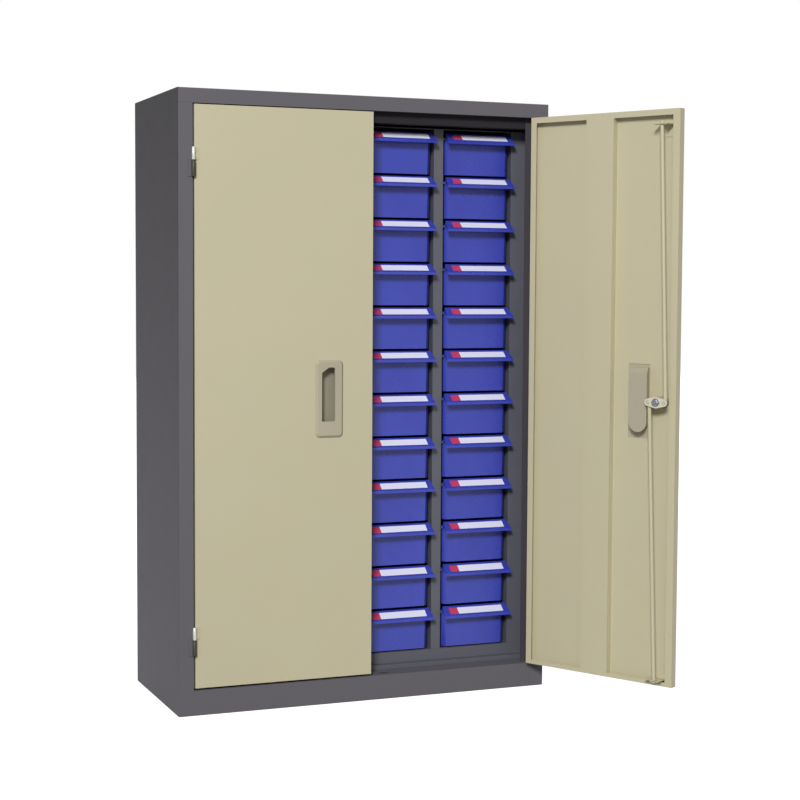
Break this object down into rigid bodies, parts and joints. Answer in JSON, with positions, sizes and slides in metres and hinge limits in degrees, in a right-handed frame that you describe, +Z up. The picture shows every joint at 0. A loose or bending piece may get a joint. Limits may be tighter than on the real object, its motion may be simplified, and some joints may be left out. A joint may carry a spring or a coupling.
{
  "type": "parts bin cabinet",
  "caption": "Sheet steel parts cabinet with two hinged doors, a rod lock and a rack of pull-out plastic bins",
  "frame": {"origin": "on the floor under the middle of the cabinet's footprint", "axes": "X to the right, Y from the front to the back, Z up; the doors face -Y"},
  "size_m": [0.7121, 0.5146, 0.94],
  "materials": {
    "carcass_paint": "satin",
    "door_paint": "satin",
    "bin_plastic": "satin",
    "handle_plastic": "satin",
    "zinc_plate": "satin"
  },
  "bodies": {
    "cabinet": {"side_panels": "carcass_paint", "base_plinth": "carcass_paint", "top_cover": "carcass_paint", "back_panel": "carcass_paint", "drawer_rack": "carcass_paint"},
    "left_door": {"left_door": "door_paint", "left_handle": "handle_plastic"},
    "right_door": {"right_door": "door_paint", "right_handle": "handle_plastic"},
    "lock_cam": {"lock_cam": "zinc_plate"},
    "upper_lock_rod": {"upper_lock_rod": "door_paint"},
    "lower_lock_rod": {"lower_lock_rod": "door_paint"},
    "bin_c1_r01": {"bin_c1_r01": "bin_plastic"},
    "bin_c1_r02": {"bin_c1_r02": "bin_plastic"},
    "bin_c1_r03": {"bin_c1_r03": "bin_plastic"},
    "bin_c1_r04": {"bin_c1_r04": "bin_plastic"},
    "bin_c1_r05": {"bin_c1_r05": "bin_plastic"},
    "bin_c1_r06": {"bin_c1_r06": "bin_plastic"},
    "bin_c1_r07": {"bin_c1_r07": "bin_plastic"},
    "bin_c1_r08": {"bin_c1_r08": "bin_plastic"},
    "bin_c1_r09": {"bin_c1_r09": "bin_plastic"},
    "bin_c1_r10": {"bin_c1_r10": "bin_plastic"},
    "bin_c1_r11": {"bin_c1_r11": "bin_plastic"},
    "bin_c1_r12": {"bin_c1_r12": "bin_plastic"},
    "bin_c2_r01": {"bin_c2_r01": "bin_plastic"},
    "bin_c2_r02": {"bin_c2_r02": "bin_plastic"},
    "bin_c2_r03": {"bin_c2_r03": "bin_plastic"},
    "bin_c2_r04": {"bin_c2_r04": "bin_plastic"},
    "bin_c2_r05": {"bin_c2_r05": "bin_plastic"},
    "bin_c2_r06": {"bin_c2_r06": "bin_plastic"},
    "bin_c2_r07": {"bin_c2_r07": "bin_plastic"},
    "bin_c2_r08": {"bin_c2_r08": "bin_plastic"},
    "bin_c2_r09": {"bin_c2_r09": "bin_plastic"},
    "bin_c2_r10": {"bin_c2_r10": "bin_plastic"},
    "bin_c2_r11": {"bin_c2_r11": "bin_plastic"},
    "bin_c2_r12": {"bin_c2_r12": "bin_plastic"},
    "bin_c3_r01": {"bin_c3_r01": "bin_plastic"},
    "bin_c3_r02": {"bin_c3_r02": "bin_plastic"},
    "bin_c3_r03": {"bin_c3_r03": "bin_plastic"},
    "bin_c3_r04": {"bin_c3_r04": "bin_plastic"},
    "bin_c3_r05": {"bin_c3_r05": "bin_plastic"},
    "bin_c3_r06": {"bin_c3_r06": "bin_plastic"},
    "bin_c3_r07": {"bin_c3_r07": "bin_plastic"},
    "bin_c3_r08": {"bin_c3_r08": "bin_plastic"},
    "bin_c3_r09": {"bin_c3_r09": "bin_plastic"},
    "bin_c3_r10": {"bin_c3_r10": "bin_plastic"},
    "bin_c3_r11": {"bin_c3_r11": "bin_plastic"},
    "bin_c3_r12": {"bin_c3_r12": "bin_plastic"},
    "bin_c4_r01": {"bin_c4_r01": "bin_plastic"},
    "bin_c4_r02": {"bin_c4_r02": "bin_plastic"},
    "bin_c4_r03": {"bin_c4_r03": "bin_plastic"},
    "bin_c4_r04": {"bin_c4_r04": "bin_plastic"},
    "bin_c4_r05": {"bin_c4_r05": "bin_plastic"},
    "bin_c4_r06": {"bin_c4_r06": "bin_plastic"},
    "bin_c4_r07": {"bin_c4_r07": "bin_plastic"},
    "bin_c4_r08": {"bin_c4_r08": "bin_plastic"},
    "bin_c4_r09": {"bin_c4_r09": "bin_plastic"},
    "bin_c4_r10": {"bin_c4_r10": "bin_plastic"},
    "bin_c4_r11": {"bin_c4_r11": "bin_plastic"},
    "bin_c4_r12": {"bin_c4_r12": "bin_plastic"}
  },
  "joints": [
    {"name": "left_door_hinge", "type": "hinge", "parent": "cabinet", "child": "left_door", "pos_m": [-0.28125, -0.1343, 0.834], "axis": [0, 0, -1], "range_deg": [0, 170]},
    {"name": "right_door_hinge", "type": "hinge", "parent": "cabinet", "child": "right_door", "pos_m": [0.28125, -0.1343, 0.834], "axis": [0, 0, 1], "range_deg": [-118, 52]},
    {"name": "lock_turn", "type": "hinge", "parent": "right_door", "child": "lock_cam", "pos_m": [0.37319, -0.36431, 0.476], "axis": [-0.8829, -0.4695, 0], "range_deg": [0, 90]},
    {"name": "upper_rod_pin", "type": "hinge", "parent": "lock_cam", "child": "upper_lock_rod", "pos_m": [0.37977, -0.37667, 0.476], "axis": [-0.8829, -0.4695, 0], "range_deg": [-91.94, 0]},
    {"name": "lower_rod_pin", "type": "hinge", "parent": "lock_cam", "child": "lower_lock_rod", "pos_m": [0.36662, -0.35195, 0.476], "axis": [-0.8829, -0.4695, 0], "range_deg": [-91.89, 0]},
    {"name": "bin_c3_r01_slide", "type": "slide", "parent": "cabinet", "child": "bin_c3_r01", "axis": [0, -1, 0], "range_m": [0, 0.15]},
    {"name": "bin_c3_r02_slide", "type": "slide", "parent": "cabinet", "child": "bin_c3_r02", "axis": [0, -1, 0], "range_m": [0, 0.15]},
    {"name": "bin_c3_r03_slide", "type": "slide", "parent": "cabinet", "child": "bin_c3_r03", "axis": [0, -1, 0], "range_m": [0, 0.15]},
    {"name": "bin_c3_r04_slide", "type": "slide", "parent": "cabinet", "child": "bin_c3_r04", "axis": [0, -1, 0], "range_m": [0, 0.15]},
    {"name": "bin_c3_r05_slide", "type": "slide", "parent": "cabinet", "child": "bin_c3_r05", "axis": [0, -1, 0], "range_m": [0, 0.15]},
    {"name": "bin_c3_r06_slide", "type": "slide", "parent": "cabinet", "child": "bin_c3_r06", "axis": [0, -1, 0], "range_m": [0, 0.15]},
    {"name": "bin_c3_r07_slide", "type": "slide", "parent": "cabinet", "child": "bin_c3_r07", "axis": [0, -1, 0], "range_m": [0, 0.15]},
    {"name": "bin_c3_r08_slide", "type": "slide", "parent": "cabinet", "child": "bin_c3_r08", "axis": [0, -1, 0], "range_m": [0, 0.15]},
    {"name": "bin_c3_r09_slide", "type": "slide", "parent": "cabinet", "child": "bin_c3_r09", "axis": [0, -1, 0], "range_m": [0, 0.15]},
    {"name": "bin_c3_r10_slide", "type": "slide", "parent": "cabinet", "child": "bin_c3_r10", "axis": [0, -1, 0], "range_m": [0, 0.15]},
    {"name": "bin_c3_r11_slide", "type": "slide", "parent": "cabinet", "child": "bin_c3_r11", "axis": [0, -1, 0], "range_m": [0, 0.15]},
    {"name": "bin_c3_r12_slide", "type": "slide", "parent": "cabinet", "child": "bin_c3_r12", "axis": [0, -1, 0], "range_m": [0, 0.15]},
    {"name": "bin_c4_r01_slide", "type": "slide", "parent": "cabinet", "child": "bin_c4_r01", "axis": [0, -1, 0], "range_m": [0, 0.15]},
    {"name": "bin_c4_r02_slide", "type": "slide", "parent": "cabinet", "child": "bin_c4_r02", "axis": [0, -1, 0], "range_m": [0, 0.15]},
    {"name": "bin_c4_r03_slide", "type": "slide", "parent": "cabinet", "child": "bin_c4_r03", "axis": [0, -1, 0], "range_m": [0, 0.15]},
    {"name": "bin_c4_r04_slide", "type": "slide", "parent": "cabinet", "child": "bin_c4_r04", "axis": [0, -1, 0], "range_m": [0, 0.15]},
    {"name": "bin_c4_r05_slide", "type": "slide", "parent": "cabinet", "child": "bin_c4_r05", "axis": [0, -1, 0], "range_m": [0, 0.15]},
    {"name": "bin_c4_r06_slide", "type": "slide", "parent": "cabinet", "child": "bin_c4_r06", "axis": [0, -1, 0], "range_m": [0, 0.15]},
    {"name": "bin_c4_r07_slide", "type": "slide", "parent": "cabinet", "child": "bin_c4_r07", "axis": [0, -1, 0], "range_m": [0, 0.15]},
    {"name": "bin_c4_r08_slide", "type": "slide", "parent": "cabinet", "child": "bin_c4_r08", "axis": [0, -1, 0], "range_m": [0, 0.15]},
    {"name": "bin_c4_r09_slide", "type": "slide", "parent": "cabinet", "child": "bin_c4_r09", "axis": [0, -1, 0], "range_m": [0, 0.15]},
    {"name": "bin_c4_r10_slide", "type": "slide", "parent": "cabinet", "child": "bin_c4_r10", "axis": [0, -1, 0], "range_m": [0, 0.15]},
    {"name": "bin_c4_r11_slide", "type": "slide", "parent": "cabinet", "child": "bin_c4_r11", "axis": [0, -1, 0], "range_m": [0, 0.15]},
    {"name": "bin_c4_r12_slide", "type": "slide", "parent": "cabinet", "child": "bin_c4_r12", "axis": [0, -1, 0], "range_m": [0, 0.15]},
    {"name": "bin_c1_r01_slide", "type": "slide", "parent": "cabinet", "child": "bin_c1_r01", "axis": [0, -1, 0], "range_m": [0, 0.012]},
    {"name": "bin_c1_r02_slide", "type": "slide", "parent": "cabinet", "child": "bin_c1_r02", "axis": [0, -1, 0], "range_m": [0, 0.012]},
    {"name": "bin_c1_r03_slide", "type": "slide", "parent": "cabinet", "child": "bin_c1_r03", "axis": [0, -1, 0], "range_m": [0, 0.012]},
    {"name": "bin_c1_r04_slide", "type": "slide", "parent": "cabinet", "child": "bin_c1_r04", "axis": [0, -1, 0], "range_m": [0, 0.012]},
    {"name": "bin_c1_r05_slide", "type": "slide", "parent": "cabinet", "child": "bin_c1_r05", "axis": [0, -1, 0], "range_m": [0, 0.012]},
    {"name": "bin_c1_r06_slide", "type": "slide", "parent": "cabinet", "child": "bin_c1_r06", "axis": [0, -1, 0], "range_m": [0, 0.012]},
    {"name": "bin_c1_r07_slide", "type": "slide", "parent": "cabinet", "child": "bin_c1_r07", "axis": [0, -1, 0], "range_m": [0, 0.012]},
    {"name": "bin_c1_r08_slide", "type": "slide", "parent": "cabinet", "child": "bin_c1_r08", "axis": [0, -1, 0], "range_m": [0, 0.012]},
    {"name": "bin_c1_r09_slide", "type": "slide", "parent": "cabinet", "child": "bin_c1_r09", "axis": [0, -1, 0], "range_m": [0, 0.012]},
    {"name": "bin_c1_r10_slide", "type": "slide", "parent": "cabinet", "child": "bin_c1_r10", "axis": [0, -1, 0], "range_m": [0, 0.012]},
    {"name": "bin_c1_r11_slide", "type": "slide", "parent": "cabinet", "child": "bin_c1_r11", "axis": [0, -1, 0], "range_m": [0, 0.012]},
    {"name": "bin_c1_r12_slide", "type": "slide", "parent": "cabinet", "child": "bin_c1_r12", "axis": [0, -1, 0], "range_m": [0, 0.012]},
    {"name": "bin_c2_r01_slide", "type": "slide", "parent": "cabinet", "child": "bin_c2_r01", "axis": [0, -1, 0], "range_m": [0, 0.012]},
    {"name": "bin_c2_r02_slide", "type": "slide", "parent": "cabinet", "child": "bin_c2_r02", "axis": [0, -1, 0], "range_m": [0, 0.012]},
    {"name": "bin_c2_r03_slide", "type": "slide", "parent": "cabinet", "child": "bin_c2_r03", "axis": [0, -1, 0], "range_m": [0, 0.012]},
    {"name": "bin_c2_r04_slide", "type": "slide", "parent": "cabinet", "child": "bin_c2_r04", "axis": [0, -1, 0], "range_m": [0, 0.012]},
    {"name": "bin_c2_r05_slide", "type": "slide", "parent": "cabinet", "child": "bin_c2_r05", "axis": [0, -1, 0], "range_m": [0, 0.012]},
    {"name": "bin_c2_r06_slide", "type": "slide", "parent": "cabinet", "child": "bin_c2_r06", "axis": [0, -1, 0], "range_m": [0, 0.012]},
    {"name": "bin_c2_r07_slide", "type": "slide", "parent": "cabinet", "child": "bin_c2_r07", "axis": [0, -1, 0], "range_m": [0, 0.012]},
    {"name": "bin_c2_r08_slide", "type": "slide", "parent": "cabinet", "child": "bin_c2_r08", "axis": [0, -1, 0], "range_m": [0, 0.012]},
    {"name": "bin_c2_r09_slide", "type": "slide", "parent": "cabinet", "child": "bin_c2_r09", "axis": [0, -1, 0], "range_m": [0, 0.012]},
    {"name": "bin_c2_r10_slide", "type": "slide", "parent": "cabinet", "child": "bin_c2_r10", "axis": [0, -1, 0], "range_m": [0, 0.012]},
    {"name": "bin_c2_r11_slide", "type": "slide", "parent": "cabinet", "child": "bin_c2_r11", "axis": [0, -1, 0], "range_m": [0, 0.012]},
    {"name": "bin_c2_r12_slide", "type": "slide", "parent": "cabinet", "child": "bin_c2_r12", "axis": [0, -1, 0], "range_m": [0, 0.012]}
  ],
  "couplings": [
    {"joint": "upper_rod_pin", "follows": "lock_turn", "ratio": -1.0214},
    {"joint": "lower_rod_pin", "follows": "lock_turn", "ratio": -1.0209}
  ]
}
